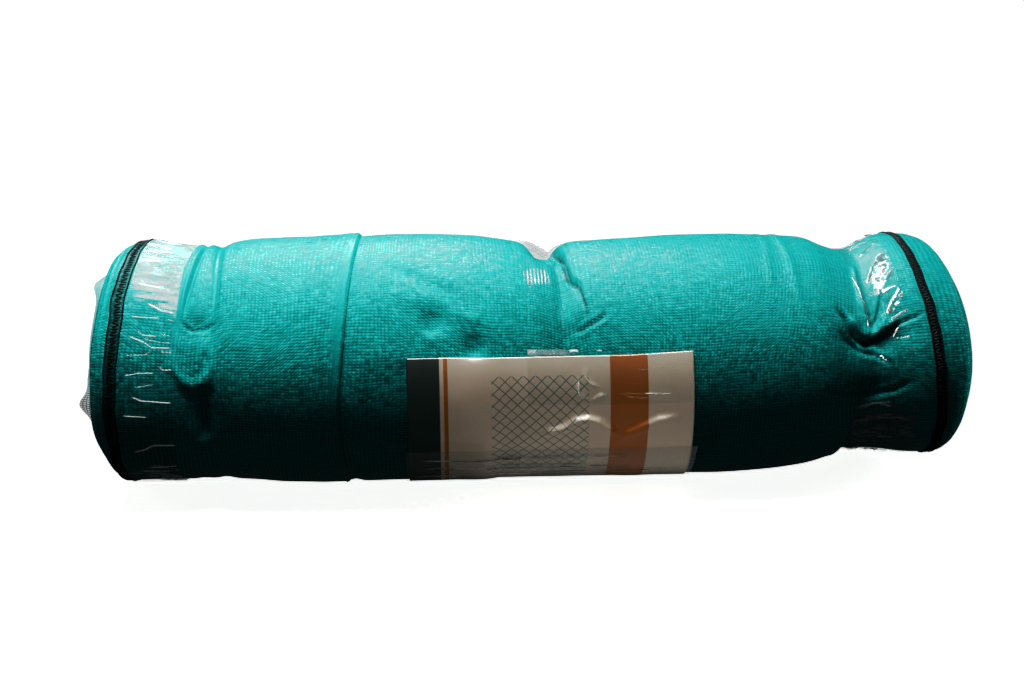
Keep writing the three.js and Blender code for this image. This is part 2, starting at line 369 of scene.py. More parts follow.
FOLDS = [
    # left waist: two creases beside the tape, the U where they end, the puff below it and its dark pocket
    line([(-247, -14), (-249.6, 7), (-252.6, 26), (-255.3, 38.5), (-257.2, 49.5), (-257, 56)],
         -2.4, 1.5, 1.0),
    line([(-238, -18), (-237.5, -2), (-235, 26), (-235, 38), (-236.4, 50), (-238, 56)], -1.3, 2.2, 0.5),
    line([(-262, 50), (-256.4, 53), (-250.6, 55), (-243, 55), (-236, 52), (-226, 50)], -1.4, 1.2, 0.9),
    line([(-268, 60), (-265, 72), (-258, 79), (-249, 81), (-241, 79), (-237, 70), (-237, 60)], 2.0, 4.2),
    line([(-263, 84), (-257, 86.5), (-248, 87.8), (-240, 86.5), (-233, 81)], -1.3, 1.2, 0.0, 2.2),
    line([(-244.5, 79), (-244.5, 88), (-244.5, 98), (-244, 108), (-243, 114)], -6.0, 3.6),
    line([(-242, 64), (-241, 70), (-242, 77)], -1.0, 3.6),
    line([(-262, 112), (-251, 115), (-240, 113), (-230, 117)], -2.0, 3.0, 0.8),
    # middle waist
    line([(14, 2), (17, 18), (21, 34), (25, 48), (28, 70)], 3.0, 8.0),
    line([(22, -30), (22.5, -15), (24.3, -2), (27, 12), (30.1, 26), (35.9, 33.5), (38, 42.4), (41, 51)],
         -4.0, 1.3, 0.5, 2.4),
    line([(57, 49), (50, 52.5), (43, 55), (36, 57), (28, 57)], -1.8, 1.7, 0.9),
    # right waist: the pinched mouth, the creases under it and the one that runs to the rim
    line([(226, 47), (237, 55), (243, 63), (252.7, 67.5), (263, 65), (273, 60.6)], -4.5, 1.5, 1.2, 2.6),
    line([(266, 63.6), (274.5, 60), (287, 57.6), (297, 55)], -2.6, 1.4, 0.8),
    line([(236, 52), (241, 58), (245, 61.5), (251, 63.6), (256.5, 64.8), (261, 63.4), (267, 60.8),
          (276, 57.5)], 5.4, 6.0, 0.0, 1.5, 0.15),
    line([(247, 38), (250, 50), (254, 61), (258, 63), (265, 57), (272, 47)], 2.6, 2.6),
    line([(246, 46), (250, 51.5), (255, 54), (261, 51)], -1.1, 0.9, 0.4),
    line([(268, 38), (264, 48), (259.5, 58), (257, 62)], -1.8, 1.5, 0.5),
    line([(230, 64), (238.5, 67), (248, 72), (258, 75), (266.7, 79), (274, 82)], -1.6, 1.8, 0.7),
    line([(214, 90), (222, 91), (240, 95), (259, 97.5), (274, 94.6), (290, 87)], -2.8, 2.2, 0.6),
    line([(222, 117), (230, 115), (243.6, 112), (259, 113.6), (276.7, 120), (292.8, 124), (316, 129)],
         -3.4, 3.4, 1.2),
    line([(252, 110), (249.5, 122), (249, 136), (250, 152), (251, 168)], -5.0, 4.0, 1.0),
    line([(252, 14), (249.5, 30), (250.5, 45), (254, 60)], 1.8, 2.0),
    # body: a slack diagonal fold, two dents, and the edges of the folds that lie below
    line([(-118, 22), (-100, 29), (-80, 36), (-62, 41), (-44, 46)], -0.8, 5.0, 0.5),
    line([(-84, 57), (-77, 59), (-69, 58)], -1.0, 2.8, 0.4),
    line([(-53, 67.5), (-45, 68.5), (-38, 66.5)], -1.0, 2.8, 0.4),
    line([(-114, 39), (-98, 43), (-86, 45.5), (-72, 45)], 0.9, 6.0, 0.0, 5.0),
    line([(-66, 49), (-54, 52.5), (-46, 53.5), (-34, 51)], 1.0, 5.0, 0.0, 4.0),
    line([(-136, 69), (-112, 70), (-88, 71), (-70, 72)], 0.8, 9.0),
    line([(198, -40), (197, 0), (198.6, 23), (199.2, 41), (202.8, 60), (207, 72), (210, 95)], 1.2, 3.2),
    line([(184, -30), (184.6, 9), (181.3, 24), (180.6, 38), (181, 52)], 0.7, 2.6),
    line([(-170, 20), (-172, 60), (-173, 100), (-170, 150)], 0.35, 8.0),
]
print("fold lines:", len(FOLDS))

# %% [markdown]
# A fold's height at a place depends on how far the place lies from its line. The line is walked stretch by
# stretch, the nearest one counts, and both ends fade out. Cloth is never quite smooth between its folds
# either, so a second function gives slow seeded noise, which repeats after one turn round the roll.

# %% Height of the folds, and slack between them
def relief(x, angle, lines):
    """Height of all the lines together over the skin, in millimetres."""
    x, angle = np.broadcast_arrays(x, angle)
    total = np.zeros(x.shape)
    for item in lines:
        points = np.array(item["points"], float) * (1, math.radians(ROUND))
        reach = 4 * max(item["width"], item["below"])
        low, high = points.min(axis=0) - reach, points.max(axis=0) + reach
        across = angle * math.radians(ROUND)
        near = (x > low[0]) & (x < high[0]) & (across > low[1]) & (across < high[1])
        place = np.stack([x[near], across[near]], axis=-1)
        best = np.full(len(place), 1e9)
        walked = np.zeros(len(place))
        under = np.zeros(len(place), bool)
        done = 0.0
        for start_point, end_point in zip(points[:-1], points[1:]):
            run = end_point - start_point
            length = np.linalg.norm(run)
            share = np.clip((place - start_point) @ run / length ** 2, 0, 1)
            distance = np.linalg.norm(place - start_point - share[:, None] * run, axis=1)
            closer = distance < best
            best[closer] = distance[closer]
            walked[closer] = done + share[closer] * length
            side = run[0] * (place[:, 1] - start_point[1]) - run[1] * (place[:, 0] - start_point[0])
            under[closer] = side[closer] > 0
            done += length
        ends = np.clip(np.minimum(walked, done - walked) / (item["fade"] * done), 0, 1)
        fade = ends * ends * (3 - 2 * ends)
        width = np.where(under, item["below"], item["width"])
        total[near] += fade * item["height"] * np.exp(-(best / width) ** 2)
        total[near] += fade * item["lip"] * np.exp(-((best - 2.0 * width) / width) ** 2)
    return total


def soft_noise(x, angle, cell, count, seed):
    """Smooth seeded noise from -1 to 1, in cells of some millimetres along the roll and a count round it."""
    values = np.random.default_rng(seed).uniform(-1, 1, (int(900 / cell) + 2, count))
    along, around = np.broadcast_arrays((x + 400) / cell, angle / 360 * count)
    i, j = np.floor(along).astype(int), np.floor(around).astype(int)
    u, v = along - i, around - j
    u, v = u * u * (3 - 2 * u), v * v * (3 - 2 * v)
    near = values[i, j % count] * (1 - v) + values[i, (j + 1) % count] * v
    far = values[i + 1, j % count] * (1 - v) + values[i + 1, (j + 1) % count] * v
    return near * (1 - u) + far * u


deepest = min(item["height"] for item in FOLDS)
print("the deepest fold goes down", -deepest, "mm")

# %% [markdown]
# One function now gives any point of the skin, or of something that lies at a lift over it. `folds` says
# how much of the fine folds it follows: cloth follows all of them, while stiffer film and card bridge the
# sharp ones.

# %% Points on the skin
CARD_LEFT = -95.0
card_low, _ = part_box("label_card")
roll_low, roll_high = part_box("netting_roll")
SHIFT_X = 1000 * card_low.x - CARD_LEFT
SHIFT_Y = 500 * (roll_low.y + roll_high.y)


def along_roll(x, angle, table=read_table):
    """Where a place of the table lies along the roll, as its ring leans."""
    turn = np.radians(angle)
    return x + table(LEAN_TOP, x) * np.cos(turn) + table(LEAN_FRONT, x) * np.sin(turn)


def skin(x, angle, lift=0.0, shift=0.0, folds=1.0, lines=FOLDS, table=read_table):
    """Points in millimetres in the frame, for places x and angles in degrees on the skin."""
    turn = np.radians(angle)
    run = along_roll(x, angle, table) + shift
    top, low = table(TOP, x), table(LOW, x)
    radius = (top - low) / 2
    slack = 0.7 * soft_noise(run, angle, 60, 9, 3) + 0.3 * soft_noise(run, angle, 22, 25, 4)
    reach = radius - pressed_in(run, angle, radius) + folds * (relief(run, angle, lines) + 0.8 * slack) + lift
    height = np.maximum((top + low) / 2 + reach * np.cos(turn), 0.0)
    return np.stack([run + SHIFT_X, -reach * np.sin(turn) + SHIFT_Y, height], axis=-1)


heights = skin(np.array([[160.0]]), np.arange(0, 360, 5.0)[None, :])[..., 2]
print("skin at x 160 reaches from", heights.min().round(1), "to", heights.max().round(1), "mm high")

# %% [markdown]
# Sheets are made as grids of four-cornered faces, rows along the roll and columns round it. Each gets a UV
# map that follows the cloth. A loop that goes right round shares its first and last column, so it has no
# open seam.

# %% Make a mesh from a grid of points
def sheet_piece(name, points, uv, finish, loop=False):
    """A smooth sheet through a grid of points in millimetres."""
    rows, columns = points.shape[:2]
    i, j = np.meshgrid(np.arange(rows - 1), np.arange(columns if loop else columns - 1), indexing="ij")
    corners = [(i, j), (i, j + 1), (i + 1, j + 1), (i + 1, j)]
    faces = np.stack([row * columns + column % columns for row, column in corners], axis=-1).reshape(-1, 4)
    mesh = bpy.data.meshes.new(name)
    mesh.from_pydata((points.reshape(-1, 3) / 1000).tolist(), [], faces.tolist())
    places = np.stack([uv[row, column] for row, column in corners], axis=-2)
    mesh.uv_layers.new(name="UVMap").data.foreach_set("uv", places.ravel())
    mesh.shade_smooth()
    mesh.materials.append(finish)
    piece = bpy.data.objects.new(name, mesh)
    scene.collection.objects.link(piece)
    print(name, "has", 2 * len(faces), "triangles")
    return piece


def grid_uv(across, around):
    """UV places for rows and columns; a loop has one more column here than in its mesh."""
    return np.stack(np.broadcast_arrays(across[:, None], around[None, :]), axis=-1)


def keep(piece, name, values):
    """Keep one number at each point of a piece, for its finish to read."""
    attribute = piece.data.attributes.new(name, "FLOAT", "POINT")
    attribute.data.foreach_set("value", np.ravel(values).astype(np.float32))


def settle(piece, slot, *nodes):
    """Let a finished piece ride on the part and stand for its solids."""
    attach(piece, "root")
    if nodes:
        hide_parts(*nodes)


print("sheets can be made, marked and settled on the part")

# %% [markdown]
# ## The knit
# The netting is a warp knit of thin plastic yarn. Chains of loops run round the roll, about 2.7 mm apart,
# and yarn laid in between them crosses from chain to chain every 2.2 mm. Real loops over the whole roll
# would be millions of faces, so the knit is a pattern in the finish. The UV map counts stitches: one unit
# across is one chain, one unit round is one course. Two layers are drawn, the outer turn and the one seen
# through its holes, turned by a little. The loops of the outer one lean this way or that, and no two have
# quite the same shade.

# %% Pattern of one layer of knit
CHAIN_PITCH = 2.7
COURSES = 272


def knit_layer(across, along):
    """Where the chains and the courses of a layer lie, from places counted in stitches."""
    chain = 1 - across.from_middle().step(0.10, 0.34)
    course = 1 - along.from_middle().step(0.12, 0.36)
    return chain, course


print("a stitch is", CHAIN_PITCH, "by", round(2 * math.pi * ROUND / COURSES, 2), "mm")

# %% Helpers for the finish of a piece
def laid_flat(start):
    """The piece's own UV map, which counts in the units of its pattern."""
    return start.node("ShaderNodeUVMap", {"uv_map": "UVMap"})


def kept_number(start, name):
    """A number that is kept at each point of the piece."""
    return start.node("ShaderNodeAttribute", {"attribute_name": name}, output=2)


def bumped(height, strength, distance):
    """A normal that follows a height."""
    return height.node("ShaderNodeBump", {}, {"Strength": strength, "Distance": distance, "Height": height})


def principled(start, colour, roughness, normal, gloss):
    """A surface whose colour, roughness and normal change over it, with one amount of gloss."""
    return start.node("ShaderNodeBsdfPrincipled", {}, {
        "Base Color": colour, "Roughness": roughness, "Normal": normal, "Specular IOR Level": gloss})


print("finishes can read what a piece keeps")

# %% Stitches of the netting
netting_finish, start = new_finish("knitted_netting")
stitches = laid_flat(start)
across = stitches.split()
around = across.out(1)
wander = stitches.noise(0.028, 2.0)
shear = stitches.noise(0.05, 1.0)
dashes = stitches.vector("MULTIPLY", (0.22, 1.0, 1.0)).noise(0.9, 1.0)
loose = stitches.noise(0.4, 1.0)
lean = stitches.noise(0.035, 0.0)
twisted = across.step(25.0, 60.0) * (1 - across.step(72.0, 112.0)) * around.step(15.0, 65.0)
outer_along = around + 4.0 * (shear - 0.5) + 0.7 * (dashes - 0.5)
leg = (across.math("FRACT", outer_along) - 0.5) * 4.0 * (lean - 0.5)
outer_across = across + 2.0 * (wander - 0.5) + 0.8 * (loose - 0.5) + 6.0 * twisted + leg
chain, course = knit_layer(outer_across, outer_along)
under_chain, under_course = knit_layer(0.985 * across + 0.045 * around + 0.3, 0.98 * around - 0.05 * across)
under_cover = 0.35 * under_chain + 0.35 * under_course + 0.3 * under_chain * under_course
print("stitches of two layers:", len(netting_finish.node_tree.nodes), "nodes")

# %% Colour of the netting
# a knot stands where a chain meets a course, and each has its own brightness; gathered cloth shows its
# courses alone, and taut cloth hardly any
cell = start.node("ShaderNodeCombineXYZ", {}, {
    0: across.math("FLOOR", outer_across), 1: across.math("FLOOR", outer_along)})
each = start.node("ShaderNodeTexWhiteNoise", {"noise_dimensions": "2D"}, {"Vector": cell})
blotch = stitches.noise(0.11, 3.0)
strands = stitches.noise(1.5, 2.0)
streaky = dashes.step(0.3, 0.7)
knot = chain * course * (0.5 + 0.6 * each)
woven = 0.15 * chain + course * (0.10 + 0.33 * streaky) + 0.8 * knot + 0.5 * (strands - 0.5)
gathered = across.step(102.5, 105.0) * (1 - across.step(110.0, 112.0)) + 1 - across.step(-116.0, -114.0)
taut = kept_number(start, "taut")
ribbed = woven + 0.8 * gathered * (course - woven)
cover = ribbed + taut * (0.4 - ribbed)
height = (0.4 * chain + 0.4 * course + 0.6 * knot) * (1 - taut)
# the layer seen through the holes is the same yarn painted darker: painted shade under the outer turn
gap = under_cover.blend((0.004, 0.29, 0.276, 1), (0.007, 0.43, 0.412, 1))
lit = 0.26 * each + 0.26 * blotch + 0.26 * streaky + 0.22 * strands
yarn = lit.blend((0.008, 0.44, 0.425, 1), (0.024, 0.82, 0.795, 1))
open_cloth = cover.math("MINIMUM", cover, 1.0).blend(gap, yarn)
print("colour of the knit:", len(netting_finish.node_tree.nodes), "nodes")

# %% [markdown]
# Two folds at the middle waist are so thin that no light gets in: one runs round the roll, one slants off
# it. They are dark lines in the finish, because a real gap of that width would need a far finer grid. The
# selvedges are knitted in dark yarn, so each is a band of colour below its stitches. It wavers a little
# round the roll, as they do.

# %% Dark folds and bands
run = kept_number(start, "run")
angle = around * (360 / COURSES)
path = run - (22.4 + 7.7 * angle.ramp(-10, 26) + 5.8 * angle.ramp(26, 33.5) + 5.1 * angle.ramp(33.5, 51))
fold = (1 - path.unsigned().step(0.4, 1.7)) * angle.step(-24, -8) * (1 - angle.step(42, 53))
branch = (angle - 57 + 0.0128 * (run - 32) * (run - 32)) * math.radians(ROUND)
slanted = (1 - branch.unsigned().step(0.4, 2.2)) * run.step(30, 37) * (1 - run.step(45, 56))
cloth = (0.72 * fold + 0.5 * slanted).blend(open_cloth, (0.001, 0.03, 0.028, 1))

LEFT_STRIPE, RIGHT_STRIPE = -303.0, 305.0
WAVER = ((0.3, 7, 0.4), (0.2, 13, 2.0), (0.2, 22, 1.1))  # millimetres, waves round the roll, where they start
turn = angle * math.radians(1)
waver = sum(size * turn.math("SINE", waves * turn + start_at) for size, waves, start_at in WAVER)
left_band = 1 - (across * CHAIN_PITCH - LEFT_STRIPE - waver).unsigned().step(3.2, 4.0)
right_band = 1 - (across * CHAIN_PITCH - RIGHT_STRIPE - waver).unsigned().step(2.9, 3.7)
colour = (0.7 * left_band + 0.95 * right_band).blend(cloth, (0.004, 0.012, 0.011, 1))
tilt = each.out(1).vector("SUBTRACT", (0.5, 0.5, 0.5))
freely = start.node("ShaderNodeVectorMath", {"operation": "SCALE"}, {0: tilt, "Scale": 0.25 - 0.25 * taut})
facing = freely.vector("ADD", bumped(height, 0.3, 0.0005)).vector("NORMALIZE")
end_with(principled(start, colour, 0.26 + 0.22 * each, facing, 0.2))
print("netting finish:", len(netting_finish.node_tree.nodes), "nodes")

# %% [markdown]
# ## The outer turn
# The cloth on the outside is one turn of the winding. Folded in three, it shows as two panels: the left one
# lies over the right one and ends in a folded edge that stands up a little. Each panel is a grid on the
# skin. At the rims the rows run on round the edge and tuck in, as the folded cloth does.

# %% Rows and columns of the panels
COLUMNS = 300
SEAM = -120  # where columns start and end, at the back of the roll
AROUND = (SEAM + 360 * np.arange(COLUMNS + 1) / COLUMNS) / 360 * COURSES
ANGLES = SEAM + 360 * np.arange(COLUMNS) / COLUMNS
LAP = -143.0

# rows that turn in at a rim: how far along the roll, how far below the rim, and how much they wave
TUCK = np.array([(12.0, -8.5, 1.0), (7.0, -8.2, 0.9), (3.0, -7.2, 0.6), (0.6, -5.2, 0.25), (-0.4, -2.6, 0.0)])
tuck_wave = 1.7 * soft_noise(np.zeros(COLUMNS), ANGLES, 50, 26, 15)
# rows of the folded edge: past the lap, over its edge and back under it
LIP = np.array([(1.0, 0.7), (2.2, 0.3), (3.2, -0.4), (3.9, -1.3), (4.1, -2.2), (1.0, -2.8), (-8.0, -2.8)])

# cloth pulled smooth over the lip of a fold, where the knit hardly shows
TAUT = [
    line([(-248, -30), (-249.2, -4), (-253.6, 22), (-259.2, 38), (-262, 51), (-262.5, 63), (-265, 76)],
         1.0, 3.2),
    line([(-239, -20), (-238, 1), (-235.3, 35), (-235.1, 56)], 0.7, 2.0),
    line([(251, 8), (250, 19), (248.8, 29), (248.6, 40), (251.5, 53), (254.5, 65)], 1.0, 4.2),
    line([(263, 40), (260, 51), (257, 64)], 0.8, 2.6),
    line([(24, -20), (26, -2), (29, 12), (32.5, 25), (38, 33), (40, 43)], 0.7, 2.4),
    line([(-131, -30), (-134, 5), (-139, 28), (-144.5, 60), (-150, 92), (-149.5, 115)], 0.9, 3.2),
]


def netting_panel(name, x, lift, shift, slips, **how):
    """A panel of netting that goes right round the roll, from the places of its rows."""
    points = skin(x[:, None], ANGLES[None, :], lift, shift[:, None] + slips, **how)
    panel = sheet_piece(name, points, grid_uv((x + shift) / CHAIN_PITCH, AROUND), netting_finish, loop=True)
    run = points[..., 0] - SHIFT_X
    keep(panel, "run", run)
    keep(panel, "taut", np.clip(relief(run, ANGLES[None, :], TAUT), 0, 1))
    settle(panel, "netting", "netting_roll")
    return panel


print("columns round the roll:", COLUMNS)

# %% Left panel
# how far the folded edge slips along the roll from a straight lean, by angle; and how far the left rim slants
SLIP = np.array([(-120, 0), (-15, 0), (8, -1.1), (28, -3.6), (45, -4.6), (75, -4.8), (95, -4.4), (115, -0.5),
                 (132, 4.5), (150, 8), (180, 6), (215, 2), (240, 0)])
slip = np.interp(ANGLES, *SLIP.T)
slip = sum(np.roll(slip, k) for k in range(-8, 9)) / 17
slant = 2.2 * np.exp(-((ANGLES - 42) / 24) ** 2) - 3.2 * np.exp(-((ANGLES - 106) / 16) ** 2)

left_body = np.arange(LEFT_RIM, LAP + 0.1, 0.88)
left_x = np.concatenate([np.full(len(TUCK), LEFT_RIM), left_body, np.full(len(LIP), LAP)])
left_shift = np.concatenate([TUCK[:, 0], np.zeros_like(left_body), LIP[:, 0]])
# the edges of the folded layers show as fine ridges at the rim
FOLD_EDGES = 3.3
edges = np.clip((-307 - left_body) / 3, 0, 1) * 0.8 * np.cos((left_body + 308) * 2 * math.pi / FOLD_EDGES)
left_lift = np.concatenate([TUCK[:, 1], edges, LIP[:, 1]])
# at the top of the roll the folded edge stands up in a small hook, and just before it the cloth sags a little
rising = np.clip((left_body + 151) / 8, 0, 1) ** 2
stands = np.concatenate([np.zeros(len(TUCK)), rising, np.linspace(1, 0.3, len(LIP))])
hook = 0.8 * np.exp(-((ANGLES + 8) / 9) ** 2)
sinking = 1.7 * np.exp(-((left_body + 153) / 8) ** 2)
sags = np.concatenate([np.zeros(len(TUCK)), sinking, np.full(len(LIP), 0.35)])
sag = 0.5 + 0.5 * np.cos(np.radians(ANGLES))
left_lift = left_lift[:, None] + stands[:, None] * hook - sags[:, None] * sag
left_lift[:len(TUCK)] += TUCK[:, 2:] * tuck_wave
near_lap = np.clip((left_x + 185) / 40, 0, 1)[:, None] ** 2
near_rim = np.clip((-304 - left_x) / 12, 0, 1)[:, None]
slips = near_lap * slip + near_rim * slant
left_panel = netting_panel("netting_left_panel", left_x, left_lift, left_shift, slips)

# %% [markdown]
# The right panel comes out from under the folded edge. It could start at that edge, but then one would see
# between the two sheets, so its first rows lie under the left panel. It dips there, and it falls away in
# the notch of the middle waist, which the tape bridges.

# %% Right panel
UNDER_LAP = np.array([(-14.0, -3.6), (-8.0, -2.6), (-3.0, -1.2)])
LAP_FOOT = -139.0
DIP = line([(-128, 5), (-132, 28), (-138, 60), (-143, 92), (-142.6, 115), (-140, 130),
            (-137, 160), (-139, 235)], -1.7, 5.0)
NOTCH = line([(5, -85), (5.5, -40), (7, -12), (10, 4), (13, 15)], -9.0, 13.0, below=7.0, fade=0.1)

right_body = np.concatenate([
    np.arange(LAP_FOOT, -20, 1.8), np.arange(-20, 60, 1.3), np.arange(60, 210, 2.0),
    np.arange(210, RIGHT_RIM, 1.2), [RIGHT_RIM]])
right_x = np.concatenate([np.full(len(UNDER_LAP), LAP_FOOT), right_body, np.full(len(TUCK), RIGHT_RIM)])
tuck = TUCK[::-1]
right_shift = np.concatenate([UNDER_LAP[:, 0], np.zeros_like(right_body), -tuck[:, 0]])
right_lift = np.concatenate([UNDER_LAP[:, 1], np.zeros_like(right_body), tuck[:, 1]])
right_lift = np.repeat(right_lift[:, None], COLUMNS, axis=1)
right_lift[-len(tuck):] += tuck[:, 2:] * np.roll(tuck_wave, 90)
near_lap = np.clip((-95 - right_x) / 40, 0, 1)[:, None] ** 2
right_panel = netting_panel("netting_right_panel", right_x, right_lift, right_shift, near_lap * slip,
                            lines=FOLDS + [DIP, NOTCH], table=straight_between(LAP_FOOT, -103.0))

# %% [markdown]
# The inner folds of the netting don't all end at the same place. At the left rim one of them stands out
# past the others as a loose edge, a few millimetres wide, with a pointed lobe low on the front. It is a
# narrow strip of a single layer, so light comes through its holes. One function of the angle says how far
# it stands out.

# %% Finish of a single layer
single_finish, start = new_finish("single_layer")
across = laid_flat(start).split()
chain, course = knit_layer(across, across.out(1))
threads = chain.math("MAXIMUM", 0.7 * chain, course)
yarn = threads.blend((0.008, 0.20, 0.190, 1), (0.03, 0.48, 0.46, 1))
cloth = start.node("ShaderNodeBsdfPrincipled", {}, {
    "Base Color": yarn, "Roughness": 0.4, "Specular IOR Level": 0.3})
through = start.node("ShaderNodeBsdfTransparent", {}, {"Color": (1, 1, 1, 1)})
end_with(start.node("ShaderNodeMixShader", {}, {0: 0.62 + 0.34 * threads, 1: through, 2: cloth}))
print("single layer finish:", len(single_finish.node_tree.nodes), "nodes")

# %% Loose edge at the left rim
def stands_out(angle):
    """How far the loose edge reaches past the left rim, in millimetres."""
    lobe = 7.0 * np.exp(-((angle - 96) / 6.5) ** 2)
    flap = 5.5 * np.exp(-((angle - 17) / 10) ** 2)
    far_flap = 4.0 * np.exp(-((angle - 205) / 12) ** 2) + 3.0 * np.exp(-((angle + 70) / 15) ** 2)
    return 1.6 + lobe + flap + far_flap + 0.9 * soft_noise(np.zeros_like(angle), angle, 50, 40, 8)


# rows of the strip: its share of the way out, below 0 on the roll, and its lift
EDGE_ROWS = np.array([(-1.2, 0.35), (-0.5, 0.3), (0.0, 0.0), (0.3, -0.7), (0.65, -1.6), (1.0, -2.4)])
ON_ROLL, STRIP = 6, 8  # millimetres of a whole share on the roll, and of the flat strip
reach_out = stands_out(ANGLES)
share, edge_lift = EDGE_ROWS[:, :1], EDGE_ROWS[:, 1:]
edge_shift = np.where(share > 0, -share * reach_out, -ON_ROLL * share)
edge_points = skin(np.full((len(EDGE_ROWS), 1), LEFT_RIM), ANGLES[None, :], edge_lift, edge_shift + slant)
edge_uv = grid_uv((LEFT_RIM - STRIP * EDGE_ROWS[:, 0]) / CHAIN_PITCH, AROUND)
loose_edge = sheet_piece("netting_loose_edge", edge_points[::-1], edge_uv[::-1], single_finish, loop=True)
settle(loose_edge, "netting")
print("loose edge stands out up to", reach_out.max().round(1), "mm")

# %% [markdown]
# ## Selvedge stitches
# Both long edges of the netting are bound: two rows of dark chain stitch with short stitches laced across
# between them. They are small solids that repeat along a ring, so Geometry Nodes place them. A ring of
# points on the skin becomes a curve, the curve is cut into stitches of equal length, and one small bead is
# set on each, turned to lie along the curve and flat on the skin. The same tree lays the rows and the
# lacing: only its inputs differ.

# %% Finish of the selvedge thread
def thread(name, dark, light):
    """A dull twisted thread, between two shades."""
    finish, start = new_finish(name)
    place = start.node("ShaderNodeTexCoord", output=3)
    twist = place.noise(900.0, 2.0)
    wear = place.noise(70.0, 2.0)
    shade = (0.6 * twist + 0.4 * wear).step(0.35, 0.75).blend(dark, light)
    end_with(principled(start, shade, 0.45 + 0.25 * wear, bumped(twist, 0.5, 0.0002), 0.25))
    return finish


black_thread = thread("black_thread", (0.002, 0.004, 0.004, 1), (0.030, 0.036, 0.036, 1))
grey_thread = thread("grey_thread", (0.02, 0.028, 0.028, 1), (0.20, 0.23, 0.23, 1))
print("two threads are ready")

# %% Begin and end a tree
def new_tree(name, inputs, output):
    """A Geometry Nodes tree with named inputs and one output, and a wire from its first input."""
    tree = bpy.data.node_groups.new(name, "GeometryNodeTree")
    for label, kind in inputs:
        tree.interface.new_socket(label, in_out="INPUT", socket_type="NodeSocket" + kind)
    tree.interface.new_socket(output, in_out="OUTPUT", socket_type="NodeSocketGeometry")
    return tree, Wire(tree).node("NodeGroupInput")


def end_tree(geometry, finish):
    """End a tree in real, smooth faces with a finish."""
    real = geometry.node("GeometryNodeRealizeInstances", {}, {"Geometry": geometry})
    smooth = geometry.node("GeometryNodeSetShadeSmooth", {}, {"Geometry": real})
    finished = geometry.node("GeometryNodeSetMaterial", {}, {"Geometry": smooth, "Material": finish})
    geometry.node("NodeGroupOutput", {}, {0: finished})


print("trees can be made")

# %% A tree that lays stitches along a ring
def stitch_tree(finish):
    """Beads along the host's rings: inputs give their length, thickness, spacing and slant."""
    sizes = ("Stitch Length", "Stitch Thickness", "Spacing", "Slant", "Unevenness", "Axis Height")
    inputs = [("Rings", "Geometry"), *((size, "Float") for size in sizes), ("Seed", "Int")]
    tree, rings = new_tree("ring_of_stitches", inputs, "Stitches")
    length, thickness, spacing, slant, unevenness, axis_height, seed = (rings.out(i) for i in range(1, 8))

    curve = rings.node("GeometryNodeMeshToCurve", {}, {"Mesh": rings})
    cut = rings.node("GeometryNodeResampleCurve", {"mode": "LENGTH"}, {"Curve": curve, "Length": spacing})
    axis = rings.node("ShaderNodeCombineXYZ", {}, {2: axis_height})
    outward = rings.node("GeometryNodeInputPosition").vector("SUBTRACT", axis).vector("MULTIPLY", (0, 1, 1))
    lie = rings.node("FunctionNodeAxesToRotation", {"primary_axis": "Z", "secondary_axis": "X"}, {
        "Primary Axis": outward, "Secondary Axis": rings.node("GeometryNodeInputTangent")})
    parity = rings.math("MODULO", rings.node("GeometryNodeInputIndex"), 2.0)
    chance = rings.node("FunctionNodeRandomValue", {"data_type": "FLOAT"}, {
        2: -1.0, 3: 1.0, "Seed": seed}, output=1)
    turn = slant * (1 - 2 * parity) + unevenness * chance
    slanted = rings.node("FunctionNodeAxisAngleToRotation", {}, {"Axis": (0, 0, 1), "Angle": turn})
    rotation = rings.node("FunctionNodeRotateRotation", {"rotation_space": "LOCAL"}, {
        "Rotation": lie, "Rotate By": slanted})

    bead = rings.node("GeometryNodeMeshUVSphere", {}, {"Segments": 6, "Rings": 4, "Radius": 0.5})
    size = rings.node("ShaderNodeCombineXYZ", {}, {0: length, 1: thickness, 2: thickness})
    end_tree(rings.node("GeometryNodeInstanceOnPoints", {}, {
        "Points": cut, "Instance": bead, "Rotation": rotation, "Scale": size}), finish)
    return tree


stitching, grey_stitching = stitch_tree(black_thread), stitch_tree(grey_thread)
print("a tree for stitches:", len(stitching.nodes), "nodes")

# %% [markdown]
# A tree runs as a modifier on a host mesh. What it makes is kept as a plain mesh and the host is removed, so
# nothing live is left in the scene. The hosts here are rings of points on the skin, at each row of stitches.

# %% Run a tree on rings
def grown(name, host_mesh, tree, inputs):
    """Run a tree on a host mesh and keep the result as a plain mesh at the origin."""
    host = bpy.data.objects.new(name + "_host", host_mesh)
    scene.collection.objects.link(host)
    modifier = host.modifiers.new("tree", "NODES")
    modifier.node_group = tree
    for item in tree.interface.items_tree:
        if item.name in inputs:
            modifier[item.identifier] = inputs[item.name]
    mesh = bpy.data.meshes.new_from_object(host.evaluated_get(bpy.context.evaluated_depsgraph_get()))
    mesh.name = name
    host.modifiers.clear()
    bpy.data.objects.remove(host)
    piece = bpy.data.objects.new(name, mesh)
    scene.collection.objects.link(piece)
    print(name, "has", sum(len(face.vertices) - 2 for face in mesh.polygons), "triangles")
    return piece


def ring_mesh(name, rings, lift):
    """Closed rings of points on the skin, as loose edges."""
    angles = np.arange(0, 360, 1.2)
    points, edges = [], []
    for x in rings:
        first = len(points)
        waver = sum(size * np.sin(waves * np.radians(angles) + start_at) for size, waves, start_at in WAVER)
        ring = skin((x + waver)[None, :], angles[None, :], lift)[0] / 1000
        points += ring.tolist()
        edges += [(first + i, first + (i + 1) % len(angles)) for i in range(len(angles))]
    mesh = bpy.data.meshes.new(name)
    mesh.from_pydata(points, edges, [])
    return mesh


print("trees can be run on rings")

